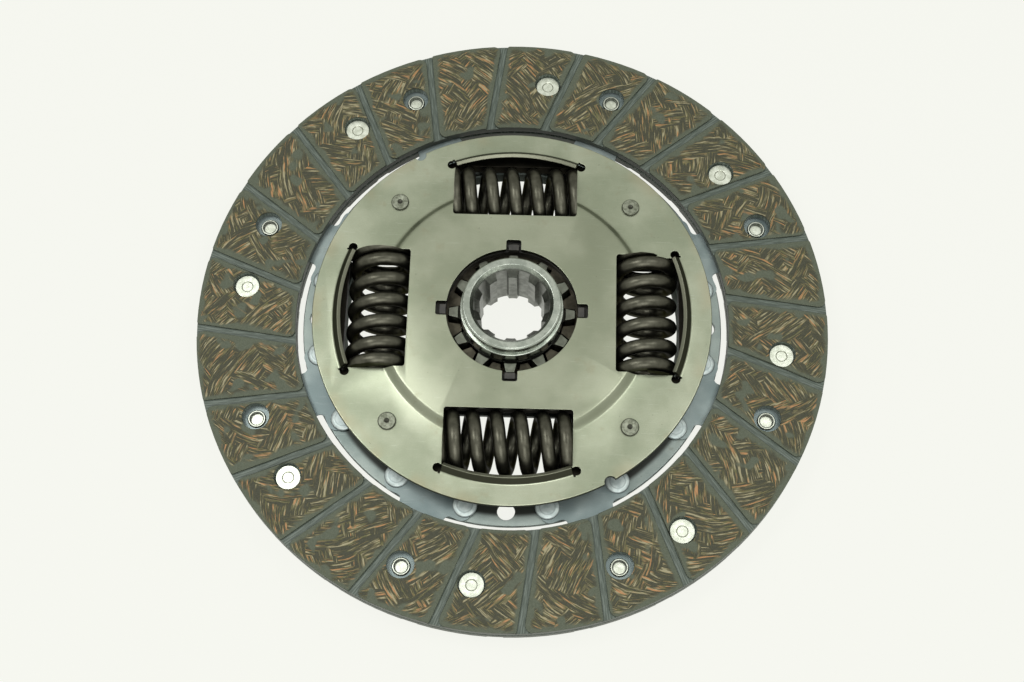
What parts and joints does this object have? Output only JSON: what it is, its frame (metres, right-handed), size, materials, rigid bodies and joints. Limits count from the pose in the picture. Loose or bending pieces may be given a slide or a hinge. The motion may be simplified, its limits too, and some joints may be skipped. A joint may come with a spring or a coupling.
{
  "type": "clutch disc",
  "caption": "Clutch disc: riveted grooved friction rings on cushion segments, a lipped-window torsion damper with coil springs and a toothed, splined hub.",
  "frame": {"origin": "on the hub axis, at the hub's flywheel-side end face, which the disc rests on", "axes": "+Z along the hub axis towards the gearbox side; +X and +Y through the middles of two spring windows"},
  "size_m": [0.24, 0.24, 0.0286],
  "materials": {
    "lining": "dull woven fibre and resin lining",
    "rivet_steel": "bright plated hollow rivets",
    "blued_rivet": "dull grey steel rivets",
    "cushion_steel": "blue-grey hardened spring sheet",
    "carrier_steel": "plain grey pressed sheet steel",
    "retainer_steel": "satin pressed sheet steel with a warm tint",
    "pin_steel": "plain turned steel, closed heads",
    "hub_steel": "machined steel, bright on the nose",
    "flange_steel": "hardened brownish-grey plate",
    "spring_wire": "dark oiled spring wire",
    "thrust_plastic": "black moulded thrust ring",
    "spring_strip": "hardened sheet",
    "friction_plastic": "dark friction washer",
    "bush_plastic": "dark plain bearing bush"
  },
  "bodies": {
    "disc": {"facing_gearbox_side": "lining", "facing_flywheel_side": "lining", "facing_rivets_gearbox_side": "rivet_steel", "facing_rivets_flywheel_side": "rivet_steel", "cushion_segment_1": "cushion_steel", "cushion_segment_2": "cushion_steel", "cushion_segment_3": "cushion_steel", "cushion_segment_4": "cushion_steel", "cushion_segment_5": "cushion_steel", "cushion_segment_6": "cushion_steel", "cushion_segment_7": "cushion_steel", "cushion_segment_8": "cushion_steel", "segment_rivets": "blued_rivet", "carrier_plate": "carrier_steel", "retainer_plate": "retainer_steel", "stop_pins": "pin_steel", "thrust_ring": "thrust_plastic", "disc_spring": "spring_strip", "friction_ring_gearbox_side": "friction_plastic", "friction_ring_flywheel_side": "friction_plastic", "centring_bush": "bush_plastic"},
    "flange": {"hub_flange": "flange_steel"},
    "hub": {"hub": "hub_steel"},
    "spring_1": {"damper_spring_1": "spring_wire"},
    "spring_2": {"damper_spring_2": "spring_wire"},
    "spring_3": {"damper_spring_3": "spring_wire"},
    "spring_4": {"damper_spring_4": "spring_wire"}
  },
  "joints": [
    {"name": "damper_turn", "type": "hinge", "parent": "disc", "child": "flange", "pos_m": [0, 0, 0.01295], "axis": [0, 0, 1], "range_deg": [-8, 8], "stiffness_Nm_per_rad": 20, "deforming": ["damper_spring_1", "damper_spring_2", "damper_spring_3", "damper_spring_4"]},
    {"name": "hub_lash", "type": "hinge", "parent": "flange", "child": "hub", "pos_m": [0, 0, 0.01295], "axis": [0, 0, 1], "range_deg": [-3, 3]},
    {"name": "spring_1_turn", "type": "hinge", "parent": "disc", "child": "spring_1", "pos_m": [0, 0, 0.01295], "axis": [0, 0, 1], "range_deg": [-4, 4], "deforming": ["damper_spring_1"]},
    {"name": "spring_2_turn", "type": "hinge", "parent": "disc", "child": "spring_2", "pos_m": [0, 0, 0.01295], "axis": [0, 0, 1], "range_deg": [-4, 4], "deforming": ["damper_spring_2"]},
    {"name": "spring_3_turn", "type": "hinge", "parent": "disc", "child": "spring_3", "pos_m": [0, 0, 0.01295], "axis": [0, 0, 1], "range_deg": [-4, 4], "deforming": ["damper_spring_3"]},
    {"name": "spring_4_turn", "type": "hinge", "parent": "disc", "child": "spring_4", "pos_m": [0, 0, 0.01295], "axis": [0, 0, 1], "range_deg": [-4, 4], "deforming": ["damper_spring_4"]}
  ],
  "couplings": [
    {"joint": "spring_1_turn", "follows": "damper_turn", "ratio": 0.5},
    {"joint": "spring_2_turn", "follows": "damper_turn", "ratio": 0.5},
    {"joint": "spring_3_turn", "follows": "damper_turn", "ratio": 0.5},
    {"joint": "spring_4_turn", "follows": "damper_turn", "ratio": 0.5}
  ]
}
